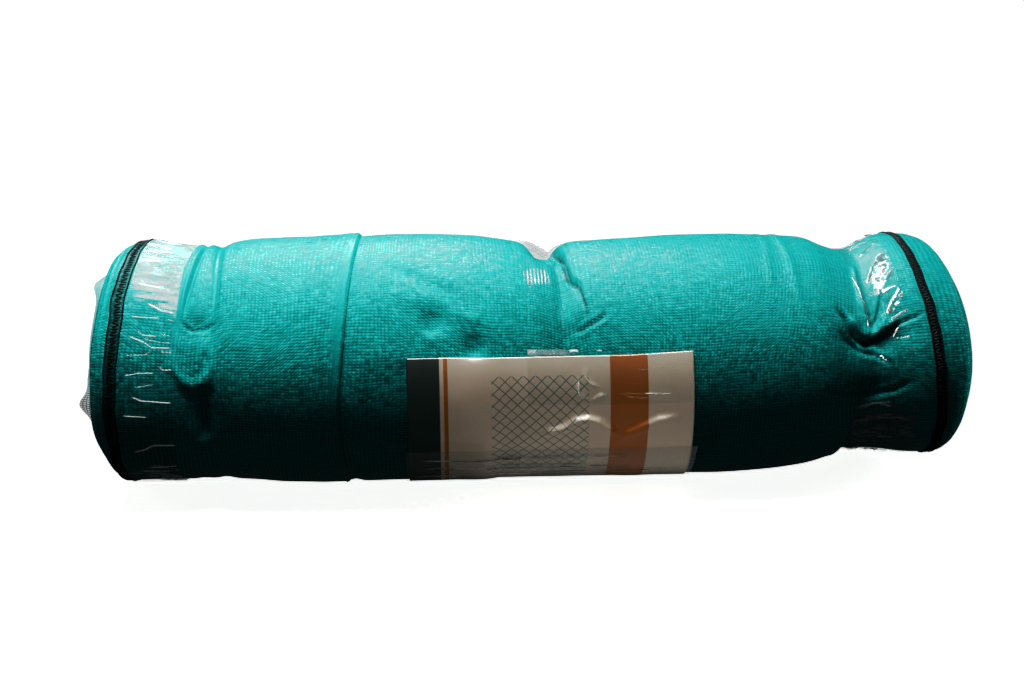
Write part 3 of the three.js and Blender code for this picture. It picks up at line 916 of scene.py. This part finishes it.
# %% Sew the selvedges
STRIPE_HALF = {"left": 3.3, "right": 2.8}
selvedge = {}
for side, stripe, lace in (("left", LEFT_STRIPE, stitching), ("right", RIGHT_STRIPE, grey_stitching)):
    axis_height = float(sum(read_table(column, np.array([stripe]))[0] for column in (TOP, LOW))) / 2000
    rows = ring_mesh(f"{side}_rows", (stripe - STRIPE_HALF[side], stripe + STRIPE_HALF[side]), 0.4)
    chain = grown(f"selvedge_chain_{side}", rows, stitching, {
        "Stitch Length": 0.0031, "Stitch Thickness": 0.0015, "Spacing": 0.0024,
        "Slant": 0.10, "Unevenness": 0.08, "Axis Height": axis_height, "Seed": 5})
    settle(chain, "netting")
    middle_row = ring_mesh(f"{side}_middle", (stripe,), 0.3)
    lacing = grown(f"selvedge_lacing_{side}", middle_row, lace, {
        "Stitch Length": 0.0017 * STRIPE_HALF[side] + 0.0006, "Stitch Thickness": 0.0010, "Spacing": 0.0022,
        "Slant": 1.36, "Unevenness": 0.32, "Axis Height": axis_height, "Seed": 6})
    settle(lacing, "netting")
    selvedge[side] = [chain, lacing]

# %% [markdown]
# ## Turns at the ends
# At each end the folded cloth shows edge on, as a spiral of some thirty turns round a small eye. A spiral
# is a rule, so a tree makes it: a flat spiral curve is pushed in towards the eye, made a little uneven with
# seeded noise, and a folded strip is swept along it. Its inputs are the number of turns, the radii, the
# dish and the strip's size.

# %% A tree for the wound end
BULGE_PITCH = 0.018  # metres between the turns that stand out


def wound_end_tree(finish):
    """A spiral of folded cloth that faces along the roll."""
    sizes = ("Turns", "Eye Radius", "Rim Radius", "Dish", "Bulge", "Fold Width", "Fold Depth", "Unevenness")
    places = ("Facing", "Rim X", "Axis Y", "Axis Height", "Lean Top", "Lean Front", "Seed")
    tree, turns = new_tree("wound_end", [(label, "Float") for label in sizes + places], "End")
    eye, rim, dish, bulge, width, depth, uneven = (turns.out(i) for i in range(1, 8))
    facing, rim_x, axis_y, axis_height, lean_top, lean_front, seed = (turns.out(i) for i in range(8, 15))

    spiral = turns.node("GeometryNodeCurveSpiral", {}, {
        "Resolution": 72, "Rotations": turns, "Start Radius": eye, "End Radius": rim, "Height": 0.0})
    flat = turns.node("GeometryNodeInputPosition")
    reach = flat.vector("LENGTH").out(1)
    share = reach / rim
    spread, ragged = (turns.node("ShaderNodeTexNoise", {"noise_dimensions": "4D"}, {
        "Vector": flat, "W": chance, "Scale": scale, "Detail": detail})
        for chance, scale, detail in ((seed, 55.0, 2.0), (seed + 4.0, 240.0, 1.0)))
    sideways = flat.split()
    upwards = sideways.out(1)
    around = turns.math("ARCTAN2", sideways, upwards)
    wave = bulge * turns.math("COSINE", reach * (2 * math.pi / BULGE_PITCH) - around)
    out = wave - dish * (1 - share * share) + uneven * (2.2 * (spread - 0.5) + 1.6 * (ragged - 0.5))
    grow = 1 + 0.05 * (spread - 0.5)
    pushed = turns.node("ShaderNodeCombineXYZ", {}, {0: sideways * grow, 1: upwards * grow, 2: out})
    wound = turns.node("GeometryNodeSetPosition", {}, {"Geometry": spiral, "Position": pushed})
    upright = turns.node("GeometryNodeSetCurveNormal", {"mode": "Z_UP"}, {"Curve": wound})

    half = width * 0.5
    fold = turns.node("GeometryNodeCurveQuadraticBezier", {}, {
        "Resolution": 6,
        "Start": turns.node("ShaderNodeCombineXYZ", {}, {0: 0 - half, 1: depth}),
        "Middle": turns.node("ShaderNodeCombineXYZ", {}, {0: 0.0, 1: 0 - depth}),
        "End": turns.node("ShaderNodeCombineXYZ", {}, {0: half, 1: depth})})
    strip = turns.node("GeometryNodeCurveToMesh", {}, {"Curve": upright, "Profile Curve": fold})

    placed = turns.node("GeometryNodeInputPosition").split()
    front, up, outward = placed, placed.out(1), placed.out(2)
    lean = (lean_top * up + lean_front * front) / rim
    stand = turns.node("ShaderNodeCombineXYZ", {}, {
        0: rim_x + facing * outward + lean, 1: axis_y - front, 2: axis_height + up})
    end_tree(turns.node("GeometryNodeSetPosition", {}, {"Geometry": strip, "Position": stand}), finish)
    return tree


print("a spiral whose turns stand out every", round(1000 * BULGE_PITCH), "mm")

# %% [markdown]
# Seen edge on, the knit is rows of cut loops: pale dots on dark. Their order can't be followed there, so
# nothing counts stitches. A Voronoi pattern gives dots of the yarn's size, and noise makes some patches
# paler.

# %% Finish of the cloth seen edge on
edge_finish, start = new_finish("netting_edge_on")
place = start.node("ShaderNodeTexCoord", output=3)
yarns = start.node("ShaderNodeTexVoronoi", {}, {"Vector": place, "Scale": 560.0})
patches = place.noise(120.0, 3.0)
dots = yarns.step(0.55, 0.15)
colour = (0.65 * dots + 0.5 * patches - 0.15).blend((0.006, 0.22, 0.208, 1), (0.03, 0.85, 0.82, 1))
end_with(principled(start, colour, 0.4 + 0.2 * patches, bumped(dots, 0.7, 0.0006), 0.4))
print("edge finish:", len(edge_finish.node_tree.nodes), "nodes")

# %% Wind both ends
wound_end = wound_end_tree(edge_finish)
ends = {}
for side, facing, rim_row in (("left", -1.0, SECTIONS[0]), ("right", 1.0, SECTIONS[-1])):
    rim_x, top, low, lean_top, lean_front = rim_row
    rim_radius = (top - low) / 2 - 7.5
    empty = bpy.data.meshes.new(f"{side}_end")
    end = grown(f"end_turns_{side}", empty, wound_end, {
        "Turns": 29.0, "Eye Radius": 0.0014, "Rim Radius": rim_radius / 1000, "Dish": 0.009, "Bulge": 0.0025,
        "Fold Width": 0.0021, "Fold Depth": 0.009, "Unevenness": 0.0016, "Facing": facing,
        "Rim X": (rim_x + SHIFT_X) / 1000, "Axis Y": SHIFT_Y / 1000, "Axis Height": (top + low) / 2000,
        "Lean Top": lean_top / 1000, "Lean Front": lean_front / 1000, "Seed": 2.0 if side == "left" else 9.0})
    settle(end, "netting", "netting_roll")

    # the cloth deeper in closes the gaps between the turns
    radii = np.linspace(0.2, rim_radius + 1.5, 14)[:, None]
    turn = np.radians(np.arange(0, 360, 5.0))[None, :]
    lean = (lean_top * np.cos(turn) + lean_front * np.sin(turn)) * radii / rim_radius
    along = rim_x + SHIFT_X + lean - facing * (6 + 9 * (1 - (radii / rim_radius) ** 2))
    disc = np.stack([along, SHIFT_Y - radii * np.sin(turn), (top + low) / 2 + radii * np.cos(turn)], axis=-1)
    disc_uv = grid_uv(radii[:, 0], np.arange(0, 361, 5.0))
    order = slice(None, None, -1 if facing > 0 else 1)
    backing = sheet_piece(f"end_backing_{side}", disc[order], disc_uv[order], edge_finish, loop=True)
    settle(backing, "netting", "netting_roll")
    ends[side] = [end, backing]

# %% [markdown]
# ## Clear tape
# The tape is a thin clear film, pulled tight round the roll. It shows by its gloss: a broad white sheen where
# it faces the light, and thin bright lines where it wrinkles. The finish lets most light straight through and
# mirrors more of it at a slant, as any smooth film does. Much of the broad sheen and the bright lines is
# painted on top of that, as white colour under a normal turned up to the light. The wrinkles are real ridges
# in a fine grid, because the light has to find their upper sides. Those in the picture are drawn as lines,
# and seeded ones go round the rest of the loop. Each film keeps three numbers at its points for the finish:
# its ridges with the painted sheen and haze, how it mirrors and how crumpled it is.

# %% Finish of the film
film_finish, start = new_finish("clear_film")
place = start.node("ShaderNodeTexCoord", output=3)
laid = laid_flat(start)
along = laid.split()
around = along.out(1)
ridge_sheen_and_haze, shine, crumple = (kept_number(start, name) for name in ("ridge_sheen_and_haze", "shine", "crumple"))
haze = start.node("ShaderNodeTexNoise", {}, {"Vector": place, "Scale": 60.0, "Detail": 4.0, "Roughness": 0.6})
scuff = place.noise(420.0, 2.0)
bent = laid.vector("MULTIPLY", (0.13, 0.22, 0.0))
facets = start.node("ShaderNodeTexVoronoi", {}, {"Vector": bent, "Scale": 1.0})
chain_wave = along.math("COSINE", along * (2 * math.pi / CHAIN_PITCH))
course_wave = along.math("COSINE", around * (2 * math.pi * COURSES / 360))
imprint = chain_wave * course_wave
ripple = bumped(crumple * facets + 0.35 * haze + 0.12 * scuff + 0.05 * imprint, 1.0, 0.0008)

# a ridge is a pleat thinner than the grid, so its glint is painted: a white base colour under a normal turned
# up to the light. The sheen and haze kept with the ridges are painted the same way.
weave = 1 - 0.75 * (1 - ridge_sheen_and_haze) * (0.5 - 0.5 * imprint)
sheen_and_haze = ridge_sheen_and_haze.step(0.25, 0.75) * (0.5 + 0.3 * haze.step(0.35, 0.6) + 0.2 * scuff.step(0.4, 0.6)) * weave
facing_up = start.node("ShaderNodeMix", {"data_type": "VECTOR"}, {
    0: sheen_and_haze, 4: ripple, 5: (0, -0.3, 0.95)}, output=1)
normal = facing_up.vector("NORMALIZE")
slanting = start.node("ShaderNodeLayerWeight", {}, {"Blend": 0.28, "Normal": ripple})
mirror = shine * (0.06 + 0.9 * slanting + 0.05 * haze.step(0.45, 0.75)) * weave
mixed = mirror + 0.8 * sheen_and_haze
dull = shine.step(0.0, 0.4).blend((0.42, 0.47, 0.465, 1), (0.53, 0.55, 0.545, 1))
metal = 0.85 - 0.85 * ridge_sheen_and_haze.step(0.3, 0.45) * (1 - shine.step(0.42, 0.5))
gloss = start.node("ShaderNodeBsdfPrincipled", {}, {
    "Base Color": ridge_sheen_and_haze.step(0.62, 0.9).blend(dull, (0.95, 0.97, 0.97, 1)), "Metallic": metal,
    "Roughness": 0.13 + 0.12 * haze, "Normal": normal})
through = start.node("ShaderNodeBsdfTransparent", {}, {"Color": (0.91, 0.93, 0.93, 1)})
end_with(start.node("ShaderNodeMixShader", {}, {0: mixed.math("MINIMUM", mixed, 0.92), 1: through, 2: gloss}))
print("film finish:", len(film_finish.node_tree.nodes), "nodes")

# %% Wrinkles
def wrinkle(points, height, width):
    """A thin raised pleat that keeps its height almost to its ends."""
    return line(points, height, 0.85 * width, fade=0.12)


def stray_wrinkles(seed, count, from_x, to_x, from_angle, to_angle, slope):
    """Seeded ridges over a stretch of film: short lines, mostly along the roll."""
    chance = np.random.default_rng(seed)
    lines = []
    for _ in range(count):
        length = chance.uniform(0.25, 0.8) * (to_x - from_x)
        x = chance.uniform(from_x - 2, to_x - length + 2)
        angle = chance.uniform(from_angle, to_angle)
        bends = angle + np.cumsum(chance.normal(0, slope, 3))
        points = [(x + length * k / 2, bends[k]) for k in range(3)]
        lines.append(wrinkle(points, chance.uniform(0.35, 0.8), chance.uniform(0.55, 0.9)))
    return lines


def lay_film(name, x, angle, wrinkles, node, loop=False, lift=0.6, folds=0.75, shine=1.0, crumple=0.25,
             sheen_and_haze=0.0, table=read_table):
    """A film on the skin with its ridges, shine and crumpling, and its painted sheen and haze, which are kept
    for the finish.
    """
    ridges = relief(along_roll(x, angle, table), angle, wrinkles)
    points = skin(x, angle, lift + ridges, folds=folds, table=table)
    around = np.append(angle[0], angle[0, 0] + 360) if loop else angle[0]
    film = sheet_piece(name, points, grid_uv(x[:, 0], around), film_finish, loop=loop)
    for kept, values in (("ridge_sheen_and_haze", np.clip(ridges + sheen_and_haze, 0, 1)), ("shine", shine), ("crumple", crumple)):
        keep(film, kept, np.broadcast_to(values, ridges.shape))
    film.visible_shadow = False
    paper_and_film.objects.link(film)
    settle(film, "clear_tape", node)
    return film


def film_places(from_x, to_x, from_angle, to_angle, along, around, loop=False):
    """Rows and columns of a film, a step apart in millimetres along and round the roll."""
    rows = int((to_x - from_x) / along) + 1
    columns = int(math.radians(to_angle - from_angle) * ROUND / around)
    x = np.linspace(from_x, to_x, rows)[:, None]
    angle = np.linspace(from_angle, to_angle, columns, endpoint=not loop)[None, :]
    return x, angle


print("films can be laid")

# %% [markdown]
# The left loop lies beside the selvedge, wider over the top. There it is white with light, down to a ragged
# edge; below that edge only its wrinkles show. The white could be left to the mirror of the light, but then
# it would be the same all along the edge, so it is painted: a map of white sheen worked out by angle, with
# noise. Low on the loop a little painted white stands for a dim sheen.

# %% Left tape
LEFT_WRINKLES = [wrinkle(*row) for row in (
    ([(-291, 33.5), (-272, 34)], 0.5, 0.7),
    ([(-292, 42.4), (-282, 41.7)], 0.5, 0.7),
    ([(-284, 42.8), (-272.7, 46.5), (-263, 47)], 0.8, 0.8),
    ([(-295, 50.5), (-273, 50)], 0.8, 0.7),
    ([(-269, 50), (-264, 51.2)], 0.7, 0.6),
    ([(-278, 51.9), (-272, 53.2)], 0.5, 0.6),
    ([(-290, 56.2), (-285.8, 58.5), (-275, 58.7)], 0.8, 0.7),
    ([(-274, 57.3), (-264, 58.4)], 0.6, 0.6),
    ([(-297.4, 59.1), (-284.2, 61.7), (-279.2, 63.9), (-264, 63.5)], 0.9, 0.7),
    ([(-286.5, 59.9), (-272.6, 61.4), (-264, 61.4)], 0.7, 0.6),
    ([(-299.5, 68.3), (-283.5, 67.2), (-278.4, 64.8)], 0.8, 0.6),
    ([(-274, 65.6), (-264, 65.6)], 0.7, 0.6),
    ([(-275, 71.6), (-271.3, 73.7), (-264, 73.3)], 0.9, 0.7),
    ([(-300, 76.7), (-296, 76.8), (-289.7, 75.6), (-277, 75.2)], 0.9, 0.7),
    ([(-293, 82.3), (-277, 80.1)], 0.8, 0.7),
    ([(-296.3, 85.9), (-288.6, 88), (-265, 88.9)], 1.1, 0.75),
    ([(-303, 95.5), (-284, 96)], 1.1, 0.75),
    ([(-300, 116.5), (-290.4, 114.4), (-283, 111.4), (-268, 111.5), (-262, 113.8)], 1.1, 0.8),
)]
LEFT_EDGE, LEFT_WIDTH = -298.3, 34.0
x, angle = film_places(LEFT_EDGE, LEFT_EDGE + LEFT_WIDTH, SEAM, SEAM + 360, 1.3, 0.42, loop=True)
share = (x - LEFT_EDGE) / LEFT_WIDTH
x = x + 7.5 * share * np.clip((24 - angle) / 44, 0, 1) * np.clip((angle + 110) / 50, 0, 1)
ragged = soft_noise(x, angle, 9, 260, 61)
lit = np.clip((41 + 9 * share + 5 * ragged - angle) / 6, 0, 1) * np.clip((angle + 75) / 30, 0, 1)
dim = np.exp(-((angle - 134) / 13) ** 2) * (0.6 + 0.4 * ragged)
low_strays = stray_wrinkles(11, 60, -298, -264, 125, 238, 0.7)
high_strays = stray_wrinkles(12, 45, -298, -264, -118, 20, 0.7)
# painted sheen over the top, down to the ragged edge, and a dim painted sheen low on the loop
sheen_and_haze = 0.62 * lit * (0.92 + 0.16 * ragged) + 0.5 * dim
tape_left = lay_film(
    "film_left", x, angle, LEFT_WRINKLES + low_strays + high_strays, "tape_left", loop=True,
    shine=0.38, crumple=0.14, sheen_and_haze=sheen_and_haze)

# %% [markdown]
# The middle loop is stuck flat on the cloth, so it is dull. It shows in three places: a patch that catches
# the light once on every chain of the knit below, two bare spots beside the dark fold, and the clear stretch
# that bridges the notch. Each is a smooth bump of painted white sheen by place and angle.

# %% Middle tape
x, angle = film_places(-8, 38.5, SEAM, SEAM + 360, 0.8, 1.0, loop=True)
wrinkles = stray_wrinkles(21, 40, -8, 39, 95, 238, 1.2) + stray_wrinkles(22, 14, -8, 39, -118, -10, 1.2)
run = along_roll(x, angle)
patch = np.exp(-((run - 4) / 11) ** 4 - ((angle - 29.3 + 0.24 * (run + 5)) / 6.2) ** 4)
streaks = (0.5 + 0.5 * np.cos(2 * math.pi * run / CHAIN_PITCH)) ** 1.2
bare = np.exp(-((run - 25) / 5) ** 2 - ((angle - 24) / 5) ** 2)
bare = bare + 0.8 * np.exp(-((run - 24.5) / 3) ** 2 - ((angle - 38) / 4) ** 2)
lens = np.exp(-((run - 10) / 15) ** 4) * np.clip((10 - angle) / 5, 0, 1) * np.clip((angle + 70) / 30, 0, 1)
# painted highlights on the chains, and painted sheen on the two spots and on the stretch over the notch
sheen_and_haze = 1.3 * patch * streaks + 0.6 * bare + 0.5 * lens
tape_middle = lay_film(
    "film_middle", x, angle, wrinkles, "tape_middle", loop=True, lift=0.6 + 0.8 * lens, shine=0.04,
    crumple=0.2, sheen_and_haze=sheen_and_haze)

# %% [markdown]
# The right loop lies in the deepest waist and is the most crumpled. Its facets mirror the light, and over the
# lobes under the waist it is hazy. Where whole patches face the light, a painted white sheen is drawn on them
# as broad lines, broken up by noise.

# %% Right tape
RIGHT_WRINKLES = [wrinkle(*row) for row in (
    ([(259, 10.7), (268.8, 5.6), (276.5, 3.8)], 0.9, 1.2),
    ([(257, 35), (263.3, 24.8), (271.5, 18.6), (277, 18)], 1.0, 1.5),
    ([(263.7, 42.6), (270.7, 40.8), (278, 40.3)], 0.9, 1.1),
    ([(267.3, 54.8), (271, 49), (279.5, 41)], 1.0, 1.5),
    ([(269, 58.5), (276.6, 55.2), (283, 53.9)], 0.9, 1.1),
    ([(245.6, 22), (250.2, 37.2), (253, 53.2), (252.7, 62)], 1.1, 1.0),
    ([(271, 66.4), (275, 61.4)], 0.8, 1.0),
    ([(278.7, 62), (290, 62.8)], 0.7, 0.8),
    ([(272.5, 67.4), (284, 67.2)], 0.8, 0.8),
    ([(268.9, 36.3), (276.5, 30.5)], 0.9, 1.4),
    ([(267.4, 21.4), (274.6, 22.6)], 0.8, 1.2),
    ([(274.6, 46.4), (281, 45.7)], 0.7, 1.0),
    ([(261, 75), (267, 79)], 1.2, 1.2),
    ([(281, 73), (291, 72.8)], 0.8, 0.8),
)]
# painted white sheen on patches where the crumpled film faces the light
RIGHT_SHEEN = [
    line([(273, 13), (271.5, 24), (265.5, 34), (261.5, 46)], 0.9, 5.0, fade=0.2),
    line([(282.5, 40), (279, 46), (272, 51.5), (266, 56)], 0.9, 2.3, fade=0.2),
    line([(269, 57.5), (279, 54.8), (285, 53.7)], 0.85, 1.0, fade=0.15),
    line([(269.5, 67.5), (272, 64), (275.5, 61)], 0.85, 1.3, fade=0.2),
    line([(256.5, 13), (267.6, 6.6), (278, 2.5)], 0.8, 0.9, fade=0.2),
    line([(249, 4), (253.5, 0), (258, -6)], 0.6, 3.0, fade=0.2),
]
x, angle = film_places(246, 289.5, SEAM, SEAM + 360, 1.0, 0.7, loop=True)
run = along_roll(x, angle)
sheen_and_haze = relief(run, angle, RIGHT_SHEEN) * (0.74 + 0.42 * soft_noise(run, angle, 2.6, 240, 62))
sheen_and_haze = sheen_and_haze + (0.42 + 0.1 * soft_noise(run, angle, 4, 200, 63)) * np.exp(-((angle - 118) / 22) ** 4)
low_strays = stray_wrinkles(31, 60, 246, 290, 80, 238, 1.6)
high_strays = stray_wrinkles(32, 40, 246, 290, -118, 5, 1.6)
tape_right = lay_film(
    "film_right", x, angle, RIGHT_WRINKLES + low_strays + high_strays, "tape_right", loop=True,
    crumple=1.0, shine=0.5, sheen_and_haze=sheen_and_haze)

# %% [markdown]
# ## The card
# A printed card lies on the lower front, under the two strips of film. It is stiffer than the cloth, so it
# bridges the small folds, but it has been bent with the roll and has creases of its own. The print is a
# plain design: a green band, an ochre rule and band, and a net of crossing lines, all drawn from the card's
# UV map in millimetres.

# %% Print on the card
card_finish, start = new_finish("printed_card")
across = laid_flat(start).split()
down = across.out(1)
place = start.node("ShaderNodeTexCoord", output=3)
fibre = place.noise(500.0, 3.0)
cloud = place.noise(25.0, 2.0)
cream = (0.5 * fibre + 0.5 * cloud).blend((0.60, 0.50, 0.39, 1), (0.72, 0.61, 0.49, 1))


def between(value, low, high):
    """1 between two places, with a soft half millimetre at each."""
    return value.step(low - 0.25, low + 0.25) * (1 - value.step(high - 0.25, high + 0.25))


NET = 9.0  # millimetres between the crossing lines
slope_up = (across + down) / NET
slope_down = (across - down) / NET
mesh_lines = slope_up.math("MAXIMUM", slope_up.from_middle(), slope_down.from_middle())
net = mesh_lines.step(0.43, 0.46) * between(across, 62, 134) * between(down, 14, 116)
print_net = (0.8 * net).blend(cream, (0.05, 0.17, 0.16, 1))
ochre_band, ochre_rule = between(across, 150, 178), between(across, 27, 30)
ochre = ochre_band.math("MAXIMUM", ochre_band, ochre_rule).blend(print_net, (0.46, 0.155, 0.004, 1))
printed = between(across, -5, 24).blend(ochre, (0.014, 0.040, 0.030, 1))
end_with(principled(start, printed, 0.24 + 0.12 * cloud, bumped(fibre, 0.12, 0.0003), 0.6))
print("card finish:", len(card_finish.node_tree.nodes), "nodes")

# %% [markdown]
# The card could be a plane that a modifier wraps round the roll, but it doesn't follow the middle waist,
# and its creases run across that bridge. So it is one more grid on the skin, over a table that is straight
# there, with its own lines for creases. A Solidify modifier gives it the thickness of card.

# %% Creased card
bridged = straight_between(-25.0, 66.0)
CARD_CREASES = [
    line([(2, 107), (14, 105), (24, 103), (31, 99.8), (39.4, 99), (47, 100.4), (55, 104.5), (64, 109)],
         3.6, 3.0, 0.0, 4.5, 0.18),
    line([(56, 109), (66, 108), (78, 104), (92, 100), (112, 99)], 3.0, 2.8, 0.0, 6.0),
    line([(36.8, 74), (36.8, 79), (40, 82), (47.8, 84.4)], 0.7, 1.2),
    line([(31.7, 78), (31.7, 86.4), (35, 89), (40.6, 91)], 0.8, 1.2),
    line([(40, 91), (48, 87.5), (53, 88)], 0.8, 1.1),
    line([(-60, 80), (-55, 96), (-58, 118)], 0.6, 8.0),
    line([(-20, 76), (-16, 100), (-22, 130)], -0.8, 7.0),
    line([(-95, 112), (-60, 110), (-20, 113), (20, 110)], 0.7, 5.0),
]
CARD_TOP, CARD_LOW = 71.0, 153.0
CARD_RIGHT = 117.0
CARD_RADIUS = 95  # of its bend round the roll
rows, columns = 180, 170
across_share = np.linspace(0, 1, rows)[:, None]
down_share = np.linspace(0, 1, columns)[None, :]
card_angle = CARD_TOP + (CARD_LOW - CARD_TOP) * down_share - 2.0 * across_share * (1 - down_share)
card_x = CARD_LEFT + (CARD_RIGHT + 5.0 * down_share - CARD_LEFT) * across_share
card_lift = 1.5 + relief(along_roll(card_x, card_angle, bridged), card_angle, CARD_CREASES)
card_points = skin(card_x, card_angle, card_lift, folds=0.25, table=bridged)
card_width, card_height = CARD_RIGHT - CARD_LEFT, math.radians(CARD_LOW - CARD_TOP) * CARD_RADIUS
card_uv = np.stack(np.broadcast_arrays(across_share * card_width, down_share * card_height), axis=-1)
card = sheet_piece("printed_card", card_points, card_uv, card_finish)
thickness = card.modifiers.new("thickness", "SOLIDIFY")
thickness.thickness = 0.0005
thickness.offset = -1.0
paper_and_film.objects.link(card)
paper.objects.link(card)
settle(card, "card", "label_card")

# %% [markdown]
# Two strips of the same film hold the card by its long edges. They lie on it and take its creases, so they
# are laid over the same straight table, a little higher. The upper one has a free edge that catches the
# light, painted as a white sheen, and the lower one is milky where it has been pressed down.

# %% Strips that hold the card
x, angle = film_places(-6, 116.5, 67, 92, 1.1, 0.8)
wrinkles = stray_wrinkles(41, 4, 60, 116, 74, 91, 0.6) + CARD_CREASES[:5] + [
    wrinkle([(25, 67.9), (28, 67.6), (32, 67.8)], 0.9, 0.8),
    wrinkle([(45, 67.9), (47, 67.6), (50, 67.8)], 0.9, 0.8)]
# painted white sheen along the free edge of the upper strip
free_edge_sheen = 0.6 * (1 - np.clip((angle - 69.3) / 1.2, 0, 1)) * np.clip((44 - x) / 26, 0, 1)
strip_top = lay_film(
    "film_label_top", x, angle, wrinkles, "tape_label_top", lift=2.3, folds=0.25, shine=0.4, sheen_and_haze=free_edge_sheen,
    table=bridged)
x, angle = film_places(-97, 124, 116.5, 146, 1.1, 0.8)
wrinkles = stray_wrinkles(42, 9, -97, 124, 118, 144, 0.5)
past_card = np.clip((x - 118) / 2, 0, 1)
strip_bottom = lay_film(
    "film_label_bottom", x, angle, wrinkles, "tape_label_bottom", lift=2.3, folds=0.25, shine=0.1,
    sheen_and_haze=0.40 + 0.12 * past_card, table=bridged)

# %% [markdown]
# ## Sheets
# Netting, film and card are all sheets. For the netting the flat size it was cut to is one turn of its panel
# round the roll, and for the tape its width by the length that goes round once. Below, the stitches and the
# wound ends of each side are joined into one list.

selvedge["left"] + ends["left"]
selvedge["right"] + ends["right"]
